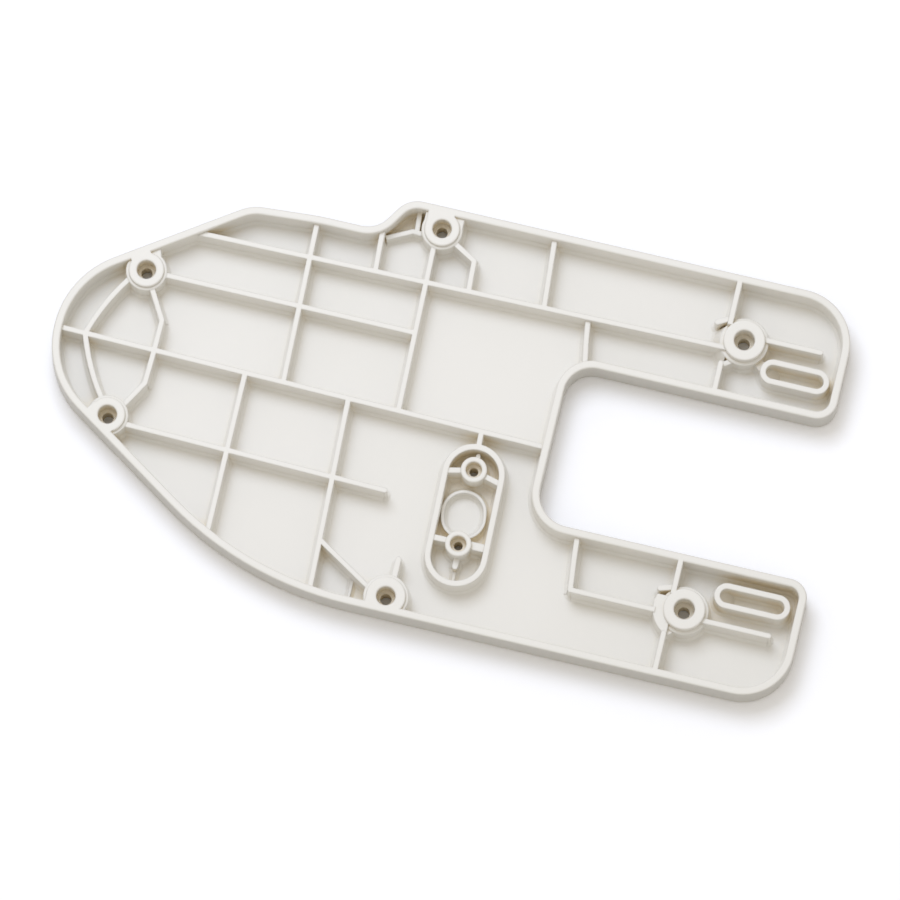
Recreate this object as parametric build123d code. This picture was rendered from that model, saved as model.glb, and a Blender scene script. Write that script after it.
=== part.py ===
from build123d import *
import os
from math import atan2, degrees, hypot, radians, tan

# Injection moulded housing half: one shallow tray with a rounded nose and two arms, stiffened by ribs
# and screwed down through counterbored bosses. All sizes are millimetres.
# Frame: the flat show face lies on z = 0 and the ribbed side looks up, along +Z. The origin is below
# the middle of the outline's box, +X runs from the nose to the arms and +Y across the tray.

# Tray
overall_length = 242.0
overall_width = 127.8
overall_height = 11.0
floor_thickness = 2.0
rim_width = 2.4
wall_draft = 1.0  # degrees, on the outer and the inner side of the rim
outer_edge_radius = 0.8  # show face to side wall
floor_radius = 0.9  # floor to side wall
edge_radius = 0.3  # both top edges of the rim
top_chamfer = 0.25  # broken top edge of ribs, bosses and pockets

# Outline
nose_upper_corner = 47.6  # how far below the upper side the nose's flat tip would end
nose_lower_corner = 48.8  # and how far above the lower side
nose_tip_flat = 0.6  # what the two large roundings leave of it
flank_end = (49.6, 13.3)  # back from the tip, and in from the upper side
flank_radius = 14.0
shoulder_x = -50.0
shoulder_radius = 60.0
shoulder_depth = 11.7  # the nose's upper side lies this far inside the arms'
step_foot_x = -32.6
step_head_x = -25.2
step_radius = 8.5
belly_x = -46.2
belly_radius = 110.0
notch_width = 49.6
notch_depth = 86.2
upper_arm_setback = 4.5  # the upper arm ends short of the lower one
upper_arm_radius = 17.0
lower_arm_radius = 16.0
upper_toe_radius = 6.5
lower_toe_radius = 6.0
upper_notch_radius = 8.5
lower_notch_radius = 10.0

# Ribs
rib_width = 1.6
rib_drop = 1.5  # ribs stop this far below the rim
low_rib_drop = 2.7
rib_draft = 2.0  # degrees
flare = 0.9  # where ribs and bosses spread into the floor

# Screw bosses on the rim and on the arms
boss_radius = 5.4
bottom_boss_radius = 6.0
arm_boss_radius = 6.35
shoulder_ring = 0.9  # the lower tier stands out by this much
shoulder_drop = 1.2
arm_shoulder_ring = 1.1
arm_shoulder_drop = 2.4
collar_radius = 9.5
skirt_radius = 7.5
skirt_lean = 16.0
brace_top = 6.2
screw_hole = 3.4
head_pocket = 5.8
pocket_depth = 5.5
arm_screw_hole = 3.6
arm_head_pocket = 6.3
arm_pocket_depth = 6.0

# Oblong well with its two small bosses
small_boss_radius = 4.0
small_boss_drop = 0.6
small_screw_hole = 2.7
small_head_pocket = 4.9
small_pocket_depth = 3.6
well_radius = 8.65  # centre line of its wall
well_wall = 1.8
inner_loop_radius = 6.4
inner_loop_wall = 1.0
inner_loop_height = 3.2

# Slots on the arm ends
slot_wall = 1.75
slot_width = 4.3
ramp_length = 5.5
ramp_drop = 2.5

half_length = overall_length / 2
half_width = overall_width / 2
notch_x = half_length - notch_depth
notch_y = notch_width / 2
arm_end = half_length - upper_arm_setback
rib_top = overall_height - rib_drop

# Boss centres
nose_upper_boss = (-half_length + 23.3, half_width - 40.5)
nose_lower_boss = (-half_length + 22.6, -half_width + 40.6)
top_boss = (-13.1, half_width - 7.2)
bottom_boss = (-3.1, -half_width + 5.4)
upper_arm_boss = (half_length - 36.6, notch_y + 19.2)
lower_arm_boss = (half_length - 35.5, -notch_y - 16.8)
upper_small_boss = (13.7, -14.2)
lower_small_boss = (14.4, -37.6)
well_top = (13.9, -15.5)
well_foot = (14.6, -41.2)


def nose_rounding(corner, end):
    """Radius that rounds a corner of the nose right up to the small flat left at the tip."""
    middle = (half_width - nose_upper_corner - half_width + nose_lower_corner) / 2
    reach = abs(corner[1] - middle) - nose_tip_flat / 2
    turn = atan2(abs(end[0] - corner[0]), abs(end[1] - corner[1]))
    return reach / tan(turn / 2)


def outline():
    """Plan of the tray on the show face, every corner rounded."""
    upper = (-half_length, half_width - nose_upper_corner)
    lower = (-half_length, -half_width + nose_lower_corner)
    flank = (-half_length + flank_end[0], half_width - flank_end[1])
    belly = (belly_x, -half_width)
    shoulder_y = half_width - shoulder_depth
    corners = [
        (*upper, nose_rounding(upper, flank)),
        (*flank, flank_radius),
        (shoulder_x, shoulder_y, shoulder_radius),
        (step_foot_x, shoulder_y, step_radius),
        (step_head_x, half_width, step_radius),
        (arm_end, half_width, upper_arm_radius),
        (arm_end, notch_y, upper_toe_radius),
        (notch_x, notch_y, upper_notch_radius),
        (notch_x, -notch_y, lower_notch_radius),
        (half_length, -notch_y, lower_toe_radius),
        (half_length, -half_width, lower_arm_radius),
        (*belly, belly_radius),
        (*lower, nose_rounding(lower, belly)),
    ]
    plan = make_face(Polyline(*[(x, y) for x, y, _ in corners], close=True))
    for x, y, radius in corners:
        plan = fillet(plan.vertices().sort_by_distance((x, y, 0))[0], radius)
    return plan


def drafted(plan, bottom, top, lean):
    """Upright block between two heights, its sides leaning in towards the top, or out if lean is negative."""
    block = extrude(Pos(0, 0, bottom) * plan, top - bottom)
    sides = [face for face in block.faces() if abs(face.normal_at().Z) < 0.5]
    neutral = Plane.XY.offset(bottom if lean > 0 else top)
    return draft(sides, neutral_plane=neutral, angle=lean)


def tray(plan):
    """Drafted tray: floor and rim, with the show edge, the floor edge and the rim rounded."""
    block = drafted(plan, 0, overall_height, wall_draft)
    mouth = offset(plan, -rim_width - overall_height * tan(radians(wall_draft)))
    hollow = drafted(mouth, floor_thickness, overall_height, -wall_draft)
    block = fillet(block.faces().sort_by(Axis.Z)[0].outer_wire().edges(), outer_edge_radius)
    hollow = chamfer(hollow.faces().sort_by(Axis.Z)[0].outer_wire().edges(), floor_radius)
    shell = block - hollow
    rim = shell.faces().filter_by(Axis.Z).sort_by(Axis.Z)[-1]
    return chamfer(rim.edges(), edge_radius)


def half_section(half_top, top, lean=rib_draft, crest=0.0):
    """Right half of a rib's section: a drafted side on a foot that spreads. A crest breaks its top edge."""
    sink = floor_thickness / 8
    half_foot = half_top + (top - floor_thickness) * tan(radians(lean))
    spread = half_foot + flare + sink
    points = [(0, sink), (spread, sink), (spread, floor_thickness - sink)]
    points += [(half_foot, floor_thickness + flare), (half_top, top - crest)]
    if crest:
        points += [(half_top - crest, top)]
    return make_face(Polyline(*points, (0, top), close=True))


def post(point, half_top, top, lean=0.0, crest=0.0):
    """Round post with the rib's section, for free ends, bends and bosses."""
    section = half_section(half_top, top, lean, crest)
    plane = Plane(origin=(point[0], point[1], 0), x_dir=(1, 0, 0), z_dir=(0, -1, 0))
    return revolve(plane * section, Axis((point[0], point[1], 0), (0, 0, 1)))


def rib(start, end, width=rib_width, top=rib_top, bow=0.0):
    """Rib from start to end. A bow makes it an arc whose middle lies that far left of the chord."""
    half = half_section(width / 2, top)
    section = half + mirror(half, Plane.YZ)
    run = (end[0] - start[0], end[1] - start[1])
    length = hypot(*run)
    along = (run[0] / length, run[1] / length)
    if bow == 0:
        plane = Plane(origin=(start[0], start[1], 0), x_dir=(-along[1], along[0], 0),
                      z_dir=(along[0], along[1], 0))
        return extrude(plane * section, length, dir=(along[0], along[1], 0))
    radius = (length**2 / 4 + bow**2) / (2 * bow)
    middle = ((start[0] + end[0]) / 2, (start[1] + end[1]) / 2)
    centre = (middle[0] + along[1] * (radius - bow), middle[1] - along[0] * (radius - bow))
    outward = ((start[0] - centre[0]) / radius, (start[1] - centre[1]) / radius)
    plane = Plane(origin=(start[0], start[1], 0), x_dir=(outward[0], outward[1], 0),
                  z_dir=(outward[1], -outward[0], 0))
    sweep_angle = 2 * degrees(atan2(length / 2, radius - bow))
    return revolve(plane * section, Axis((centre[0], centre[1], 0), (0, 0, -1)), sweep_angle)


def bent_rib(points, width=rib_width, top=rib_top):
    """Straight ribs through the points, joined by round posts at the bends."""
    pieces = [rib(a, b, width, top) for a, b in zip(points, points[1:])]
    pieces += [post(p, width / 2, top) for p in points[1:-1]]
    return pieces


def free_rib(start, end, width=rib_width, top=rib_top):
    """Rib that stands free at its far end."""
    return [rib(start, end, width, top), post(end, width / 2, top)]


def oblong(first, second, radius, width, top):
    """Closed oblong wall round two centres: two straight walls and two half turns."""
    half = half_section(width / 2, top)
    section = half + mirror(half, Plane.YZ)
    run = (second[0] - first[0], second[1] - first[1])
    length = hypot(*run)
    along = (run[0] / length, run[1] / length)
    side = (-along[1] * radius, along[0] * radius)
    pieces = []
    for sign, centre in ((1, first), (-1, second)):
        start = (centre[0] + sign * side[0], centre[1] + sign * side[1])
        end = (start[0] + sign * run[0], start[1] + sign * run[1])
        pieces.append(rib(start, end, width, top))
        plane = Plane(origin=(start[0], start[1], 0),
                      x_dir=(sign * side[0] / radius, sign * side[1] / radius, 0),
                      z_dir=(sign * along[0], sign * along[1], 0))
        pieces.append(revolve(plane * section, Axis((centre[0], centre[1], 0), (0, 0, 1)), 180))
    return pieces


def boss(centre, radius, ring=shoulder_ring, drop=shoulder_drop):
    """Screw boss: a flat disc level with the rim on a slightly wider, lower tier."""
    disc = post(centre, radius, overall_height, crest=top_chamfer)
    return [disc, post(centre, radius + ring, overall_height - drop, crest=top_chamfer)]


def rim_boss(centre, radius, land, land_width, tier, tier_width):
    """Boss beside the side wall, to which a land ties its disc and another its lower tier."""
    land_start = (centre[0] + land[0][0], centre[1] + land[0][1])
    land_end = (centre[0] + land[1][0], centre[1] + land[1][1])
    tier_end = (centre[0] + tier[0], centre[1] + tier[1])
    return boss(centre, radius) + [
        rib(land_start, land_end, land_width, overall_height),
        rib(centre, tier_end, tier_width, overall_height - shoulder_drop),
    ]


def screw_core(centre, hole, pocket, depth, top):
    """Cored screw hole with the pocket for the screw's head, its mouth slightly broken."""
    shelf = top - depth
    profile = make_face(Polyline(
        (0, -1), (hole / 2, -1), (hole / 2, shelf), (pocket / 2, shelf),
        (pocket / 2, top - top_chamfer), (pocket / 2 + top_chamfer, top),
        (pocket / 2 + top_chamfer, top + 1), (0, top + 1), close=True))
    placed = Plane(origin=(centre[0], centre[1], 0), x_dir=(1, 0, 0), z_dir=(0, -1, 0)) * profile
    return revolve(placed, Axis((centre[0], centre[1], 0), (0, 0, 1)))


def grid_ribs():
    """Long ribs along the tray and cross ribs from wall to wall."""
    nose = -half_length - 3
    ribs = [
        rib((nose, 38.1), (upper_arm_boss[0] - 5, 40.8)),
        rib(nose_upper_boss, (-13.6, 23.4)),
        rib((nose, 0.3), (notch_x + 3, -2.3)),
        rib((-51.1, half_width), (-49.0, -1.0)),
        rib((-31.3, half_width), (-29.9, 39.4)),
        rib((-14.5, top_boss[1]), (-12.9, -1.6)),
        rib((20.65, half_width + 3), (22.75, 40.0)),
        rib((-60.9, -0.8), (-60.2, -half_width)),
        rib((-28.5, -1.3), (-25.9, -half_width - 3)),
    ]
    ribs += free_rib((nose_lower_boss[0], -24.6), (-11.1, -26.5))
    ribs += bent_rib([(36.6, 40.2), (37.5, 33.6), (39.6, notch_y - 3)], top=overall_height - low_rib_drop)
    return ribs


def nose_ribs():
    """Bowed and bent ribs between the two nose bosses."""
    keel = (-half_length + 9.8, 0.1)
    ribs = [
        rib(keel, (nose_upper_boss[0] - 4.2, nose_upper_boss[1] - 3.2), bow=0.9),
        rib((nose_lower_boss[0] - 2.4, nose_lower_boss[1] + 4.0), keel, bow=0.9),
        post(keel, rib_width / 2, rib_top),
    ]
    bend_x = nose_upper_boss[0] + 8.3
    ribs += bent_rib([nose_upper_boss, (bend_x, 9.3), (bend_x - 0.1, -1.0), (bend_x - 0.4, -10.8),
                      (nose_lower_boss[0] + 1.5, nose_lower_boss[1])])
    return ribs


def boss_ribs():
    """Short ribs that brace the bosses on the long sides."""
    x, y = top_boss
    ribs = bent_rib([(x - 16.3, y - 5.6), (x - 8.7, y - 1.7), (x - 3.0, y - 2.0)], 1.5, brace_top)
    ribs += [rib((x - 7.5, y - 1.7), (x - 8.4, half_width + 2), 1.5, brace_top)]
    knee = (x + 11.8, y - 7.2)
    ribs += bent_rib([(x + 3, y - 2.2), knee, (knee[0] + 0.5, 39.6)])
    x, y = bottom_boss
    ribs += [rib((-26.6, -45.9), (x - 1.5, y - 1.0), width=1.5)]
    ribs += [rib((x - 11.4, y + 5.5), (x - 11.3, -half_width), width=0.9, top=floor_thickness + 1.2)]
    ribs += free_rib((x + 1.0, y), (x + 1.0, y + 12.2), width=1.8)
    return ribs


def arm_boss_group(centre, cross_x, long_y, tip_x, walls, ear):
    """Large boss of an arm, with a cross rib at rim height from either wall, a long rib and a short ear."""
    x, y = centre
    pieces = boss(centre, arm_boss_radius, arm_shoulder_ring, arm_shoulder_drop)
    pieces += [rib((cross_x, walls[0]), (cross_x, y + 3.8), top=overall_height)]
    pieces += free_rib((cross_x, walls[1]), (cross_x, y - 8.6), top=overall_height)
    pieces += [rib((cross_x, y - 8.6), (x - 1.9, y - 6.2), top=rib_top - 1.5)]
    pieces += free_rib((x, long_y), (tip_x, long_y))
    pieces += free_rib((cross_x, y + 6.3), (cross_x + ear[0], y + ear[1]), width=1.7, top=rib_top - 0.2)
    return pieces


def half_moon(centre, edge_x, radius, top, lean):
    """Left part of a round shoulder beside an arm's boss, clear of the ear."""
    keep = Pos(edge_x - 15, centre[1] - 16.8, 8) * Box(30, 40, 20)
    return post(centre, radius, top, lean) & keep


def slot(centre, length):
    """Oblong wall round a blind slot, with a ramp inside its inner end."""
    radius = (slot_width + slot_wall) / 2
    reach = length / 2 - radius - slot_wall / 2
    first = (centre[0] - reach, centre[1])
    second = (centre[0] + reach, centre[1])
    foot = (first[0] - slot_width / 2 - 0.5, floor_thickness - 0.5)
    toe = (foot[0] + ramp_length, foot[1])
    wedge = make_face(Polyline(foot, toe, (foot[0], rib_top - ramp_drop), close=True))
    across = slot_width + 0.6
    ramp = extrude(Plane(origin=(0, centre[1] - across / 2, 0), x_dir=(1, 0, 0), z_dir=(0, -1, 0)) * wedge,
                   across, dir=(0, 1, 0))
    return oblong(first, second, radius, slot_wall, rib_top) + [ramp]


def well():
    """Oblong well in the middle: its wall, two small bosses on spokes and the low loop between them."""
    small_top = overall_height - small_boss_drop
    pieces = oblong(well_top, well_foot, well_radius, well_wall, rib_top)
    for centre in (upper_small_boss, lower_small_boss):
        pieces += [post(centre, small_boss_radius, small_top, crest=top_chamfer)]
    left = well_top[0] - well_radius
    right = well_top[0] + well_radius
    head = well_top[1] + well_radius
    x, y = upper_small_boss
    pieces += [
        rib((x, y), (left, y - 1.9), 1.7, rib_top - 0.2),
        rib((x, y), (right, y - 2.4), 1.7, rib_top - 0.2),
        rib((x - 0.3, head), (x - 0.5, -2.0), 1.6, rib_top),
    ]
    pieces += free_rib((x + 0.2, y), (x + 0.2, head - 2.2), 1.4, rib_top - 2.4)
    x, y = lower_small_boss
    pieces += [
        rib((x, y + 0.5), (left + 0.6, y + 0.5), 1.8, rib_top - 0.2),
        rib((x, y + 0.7), (right + 0.5, y + 0.7), 2.5, rib_top - 1.0),
        rib((x + 0.5, y), (x + 0.8, well_foot[1] - well_radius), 1.0, floor_thickness + 1.5),
    ]
    pieces += free_rib((x + 0.5, y), (x + 0.5, y - 6.4), 1.8, rib_top - 2.6)
    loop_top = floor_thickness + inner_loop_height
    loop_head = (well_top[0] - 0.3, -26.6)
    loop_foot = (well_top[0] - 0.1, -28.2)
    return pieces + oblong(loop_head, loop_foot, inner_loop_radius, inner_loop_wall, loop_top)


def rim_bosses():
    """The four bosses beside the side walls."""
    return [
        *rim_boss(nose_upper_boss, boss_radius, ((0, 0), (-5.2, 7.6)), 6.4, (-2.8, 9.6), 9.4),
        *rim_boss(nose_lower_boss, boss_radius, ((-0.4, 0.3), (-4.8, -6.5)), 10.4, (-4.4, -6.8), 11.0),
        *rim_boss(top_boss, boss_radius, ((-1.1, 0), (-1.3, 8)), 8.2, (0, 8), 12.0),
        *rim_boss(bottom_boss, bottom_boss_radius, ((-0.6, 0), (-0.8, -6.4)), 10.4, (0, -6.4), 13.0),
    ]


def arms():
    """Bosses, ribs and slots of both arms."""
    cross_x = upper_arm_boss[0] - 5.4
    pieces = arm_boss_group(upper_arm_boss, cross_x, upper_arm_boss[1] + 1.9, arm_end - 8.7,
                            (half_width + 3, notch_y - 3), (-3.9, 4.0))
    pieces += [half_moon(upper_arm_boss, cross_x + 0.8, skirt_radius, rib_top - 1.0, skirt_lean)]
    upper_slot = (upper_arm_boss[0] + 17.4, notch_y + 11.9)
    pieces += slot(upper_slot, 21.4)
    pieces += [rib(upper_arm_boss, (upper_slot[0] - 8.6, upper_slot[1]), width=3.0, top=brace_top)]
    cross_x = lower_arm_boss[0] - 4.4
    long_y = lower_arm_boss[1] - 1.9
    pieces += arm_boss_group(lower_arm_boss, cross_x, long_y, half_length - 8.9,
                             (-notch_y + 3, -half_width - 3), (-4.2, 5.0))
    pieces += [half_moon(lower_arm_boss, cross_x + 0.8, collar_radius, rib_top - 0.2, rib_draft)]
    pieces += slot((lower_arm_boss[0] + 19.4, -notch_y - 9.5), 23.4)
    pieces += [rib((51.0, long_y), (lower_arm_boss[0] - 8.6, long_y))]
    pieces += bent_rib([(48.5, -notch_y + 3), (49.5, -33.6), (50.6, long_y)])
    pieces += [post((50.6, long_y), rib_width / 2, rib_top)]
    return pieces


def housing():
    """The finished moulding."""
    plan = outline()
    inside = drafted(offset(plan, -rim_width / 2), 0, overall_height, wall_draft)
    body = tray(plan)
    for group in (grid_ribs(), nose_ribs(), boss_ribs(), rim_bosses(), well(), arms()):
        for piece in group:
            body += piece & inside
    for centre in (nose_upper_boss, nose_lower_boss, top_boss, bottom_boss):
        body -= screw_core(centre, screw_hole, head_pocket, pocket_depth, overall_height)
    for centre in (upper_arm_boss, lower_arm_boss):
        body -= screw_core(centre, arm_screw_hole, arm_head_pocket, arm_pocket_depth, overall_height)
    for centre in (upper_small_boss, lower_small_boss):
        body -= screw_core(centre, small_screw_hole, small_head_pocket, small_pocket_depth,
                           overall_height - small_boss_drop)
    return body


os.makedirs("parts", exist_ok=True)
body = housing()
body.label = "base_housing"
export_step(body, "parts/base_housing.step")
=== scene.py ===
import bpy
from mathutils import Matrix, Vector


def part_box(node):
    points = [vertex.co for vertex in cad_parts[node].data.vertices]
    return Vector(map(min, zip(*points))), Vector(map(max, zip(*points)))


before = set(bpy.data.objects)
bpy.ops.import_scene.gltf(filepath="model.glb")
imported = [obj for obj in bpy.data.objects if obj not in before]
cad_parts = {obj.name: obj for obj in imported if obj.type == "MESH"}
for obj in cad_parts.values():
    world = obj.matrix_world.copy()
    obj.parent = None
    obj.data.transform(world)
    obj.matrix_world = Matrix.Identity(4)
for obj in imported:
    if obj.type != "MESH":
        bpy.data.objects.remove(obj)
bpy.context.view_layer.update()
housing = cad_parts["base_housing"]
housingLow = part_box("base_housing")[0]
print("frame loaded")

mm = 0.001


def linearColour(hexText):
    # sRGB hex to the linear values that the shaders take
    channels = [int(hexText[i:i + 2], 16) / 255 for i in (1, 3, 5)]
    return [c / 12.92 if c <= 0.04045 else ((c + 0.055) / 1.055) ** 2.4 for c in channels] + [1.0]


def addNode(tree, kind, settings=None, inputs=None, links=None):
    # one node: attributes from settings, socket values from inputs, and links from other nodes' outputs.
    # A socket goes by its name, or by its number where two share a name.
    node = tree.nodes.new(kind)
    for name, value in (settings or {}).items():
        setattr(node, name, value)
    for name, value in (inputs or {}).items():
        node.inputs[name].default_value = value
    for name, (source, output) in (links or {}).items():
        tree.links.new(source.outputs[output], node.inputs[name])
    return node


def newMaterial(name):
    material = bpy.data.materials.new(name)
    material.use_nodes = True
    material.node_tree.nodes.clear()
    return material, material.node_tree


# Camera: a long lens, so the tray's walls show with hardly any perspective
cameraSetup = {
    "lookAt": (5.28773, -10.08291, 11.0),  # mm, on the plane of the rim's top
    "backward": (0.05213, -0.21883, 0.97437),  # from the part to the lens
    "right": (0.9728, 0.2317, 0.0),
    "distance": 2727.3,  # mm
    "lens": 360.0,  # mm
    "sensor": 36.0,  # mm
    "clip": (0.1, 20.0),  # m
}


def placeCamera(setup):
    backward = Vector(setup["backward"]).normalized()
    right = Vector(setup["right"]).normalized()
    up = backward.cross(right)
    right = up.cross(backward)
    data = bpy.data.cameras.new("mainCamera")
    data.lens = setup["lens"]
    data.sensor_width = setup["sensor"]
    data.clip_start, data.clip_end = setup["clip"]
    camera = bpy.data.objects.new("mainCamera", data)
    spot = Vector(setup["lookAt"]) * mm + backward * setup["distance"] * mm
    turn = Matrix((right, up, backward)).transposed().to_4x4()
    camera.matrix_world = Matrix.Translation(spot) @ turn
    bpy.context.scene.collection.objects.link(camera)
    bpy.context.scene.camera = camera


placeCamera(cameraSetup)
print("camera placed")

# Housing material
plasticSetup = {
    "colour": "#EAE8E4",  # ivory ABS
    "warm": "#E6E4DE",
    "corner": "#EADBBB",  # painted shade: a warm tan mixed into the colour where the light hardly gets in, in screw pockets and narrow gaps
    "cornerReach": 6.0,  # mm
    "cornerRays": 4,
    "cornerShare": (0.05, 0.45),  # of the sky that a spot sees: fully the painted shade, and none of it
    "roughness": 0.42,
    "roughnessSpread": 0.08,
    "ior": 1.54,
    "sparkGrain": 0.35,  # mm, pitch of the spark-eroded texture in the mould
    "sparkDepth": 0.02,  # mm
    "sparkStrength": 0.12,
    "sparkDetail": 3.0,
    "flowPatch": 45.0,  # mm, size of the faint tone changes left by the melt's flow
    "flowDetail": 2.0,
    "edgeSoftness": 0.6,  # mm, radius that the light sees on every edge
    "edgeRays": 6,
}


def mouldedAbs(setup):
    # Injection moulded ABS in ivory: the steel's fine spark texture is copied on every face, which gives an
    # even satin with soft highlights. Edges are slightly round, and the tone drifts faintly with the melt's
    # flow. Painted shade: where ambient occlusion finds little open sky, in pockets and narrow gaps, a warm
    # tan is painted into the colour.
    material, tree = newMaterial("mouldedAbs")
    place = addNode(tree, "ShaderNodeTexCoord")
    drift = addNode(tree, "ShaderNodeTexNoise", {},
                    {"Scale": 1 / (setup["flowPatch"] * mm), "Detail": setup["flowDetail"]},
                    {"Vector": (place, "Object")})
    tone = addNode(tree, "ShaderNodeMix", {"data_type": "RGBA"},
                   {"A": linearColour(setup["colour"]), "B": linearColour(setup["warm"])},
                   {"Factor": (drift, "Fac")})
    # painted shade: ambient occlusion pulls the colour toward a warm tan in pockets and narrow gaps
    sky = addNode(tree, "ShaderNodeAmbientOcclusion", {"samples": setup["cornerRays"]},
                  {"Distance": setup["cornerReach"] * mm})
    shut, clear = setup["cornerShare"]
    paintedShadeMask = addNode(tree, "ShaderNodeMapRange", {}, {"From Min": shut, "From Max": clear},
                        {"Value": (sky, "AO")})
    toneWithPaintedShade = addNode(tree, "ShaderNodeMix", {"data_type": "RGBA"}, {"A": linearColour(setup["corner"])},
                   {"Factor": (paintedShadeMask, "Result"), "B": (tone, "Result")})
    grain = addNode(tree, "ShaderNodeTexNoise", {},
                    {"Scale": 1 / (setup["sparkGrain"] * mm), "Detail": setup["sparkDetail"]},
                    {"Vector": (place, "Object")})
    shine = addNode(tree, "ShaderNodeMapRange", {},
                    {"To Min": setup["roughness"] - setup["roughnessSpread"],
                     "To Max": setup["roughness"] + setup["roughnessSpread"]}, {"Value": (grain, "Fac")})
    soft = addNode(tree, "ShaderNodeBevel", {"samples": setup["edgeRays"]},
                   {"Radius": setup["edgeSoftness"] * mm})
    bump = addNode(tree, "ShaderNodeBump", {},
                   {"Strength": setup["sparkStrength"], "Distance": setup["sparkDepth"] * mm},
                   {"Height": (grain, "Fac"), "Normal": (soft, "Normal")})
    surface = addNode(tree, "ShaderNodeBsdfPrincipled", {}, {"IOR": setup["ior"]},
                      {"Base Color": (toneWithPaintedShade, "Result"), "Roughness": (shine, "Result"),
                       "Normal": (bump, "Normal")})
    addNode(tree, "ShaderNodeOutputMaterial", {}, {}, {"Surface": (surface, "BSDF")})
    return material


housing.data.materials.clear()
housing.data.materials.append(mouldedAbs(plasticSetup))
print("housing finished")

# Studio: pale table, one large soft lamp from the upper left and a pale room
studioSetup = {
    "tableColour": "#FAFBFF",
    "tableLift": 1.12,  # how much brighter than white paper it is seen, so it stays white up to the shadow
    "tableBounce": "#8C8B88",  # what the table throws back onto the part's walls
    "tableSize": 6.0,  # m
    "tableGap": 0.01,  # mm, below the part
    "keyColour": "#E7EFFF",
    "keyPower": 8.2,  # W
    "keySize": 0.7,  # m
    "keyPlace": (-0.35, 0.5, 1.2),  # m
    "roomColour": "#FFFAF1",
    "roomStrength": 0.7,
}


def layTable(setup):
    # Matt white table: seen straight, in a gloss or through glass it is white, and it keeps the shadow. It
    # throws back only part of the light, so the outer walls turn darker towards their foot.
    half = setup["tableSize"] / 2
    low = housingLow[2] - setup["tableGap"] * mm
    mesh = bpy.data.meshes.new("table")
    mesh.from_pydata([(-half, -half, low), (half, -half, low), (half, half, low), (-half, half, low)],
                     [], [(0, 1, 2, 3)])
    table = bpy.data.objects.new("table", mesh)
    bpy.context.scene.collection.objects.link(table)
    material, tree = newMaterial("tablePaper")
    white = [setup["tableLift"] * c for c in linearColour(setup["tableColour"])]
    ray = addNode(tree, "ShaderNodeLightPath")
    straight = addNode(tree, "ShaderNodeMath", {"operation": "MAXIMUM"}, {},
                       {0: (ray, "Is Camera Ray"), 1: (ray, "Is Glossy Ray")})
    seen = addNode(tree, "ShaderNodeMath", {"operation": "MAXIMUM"}, {},
                   {0: (straight, "Value"), 1: (ray, "Is Transmission Ray")})
    tint = addNode(tree, "ShaderNodeMix", {"data_type": "RGBA"},
                   {"A": linearColour(setup["tableBounce"]), "B": white}, {"Factor": (seen, "Value")})
    paper = addNode(tree, "ShaderNodeBsdfDiffuse", {}, {}, {"Color": (tint, "Result")})
    addNode(tree, "ShaderNodeOutputMaterial", {}, {}, {"Surface": (paper, "BSDF")})
    mesh.materials.append(material)


def hangLamps(setup):
    data = bpy.data.lights.new("keyLamp", "AREA")
    data.energy = setup["keyPower"]
    data.color = linearColour(setup["keyColour"])[:3]
    data.size = setup["keySize"]
    lamp = bpy.data.objects.new("keyLamp", data)
    lamp.location = setup["keyPlace"]
    aim = Vector((0, 0, 0)) - Vector(setup["keyPlace"])
    lamp.rotation_mode = "QUATERNION"
    lamp.rotation_quaternion = aim.to_track_quat("-Z", "Y")
    bpy.context.scene.collection.objects.link(lamp)
    world = bpy.data.worlds.new("room")
    world.use_nodes = True
    tree = world.node_tree
    tree.nodes.clear()
    light = addNode(tree, "ShaderNodeBackground", {}, {"Color": linearColour(setup["roomColour"]),
                                                       "Strength": setup["roomStrength"]})
    addNode(tree, "ShaderNodeOutputWorld", {}, {}, {"Surface": (light, "Background")})
    bpy.context.scene.world = world


layTable(studioSetup)
hangLamps(studioSetup)
bpy.context.scene.view_settings.view_transform = "Standard"
print("studio lit")
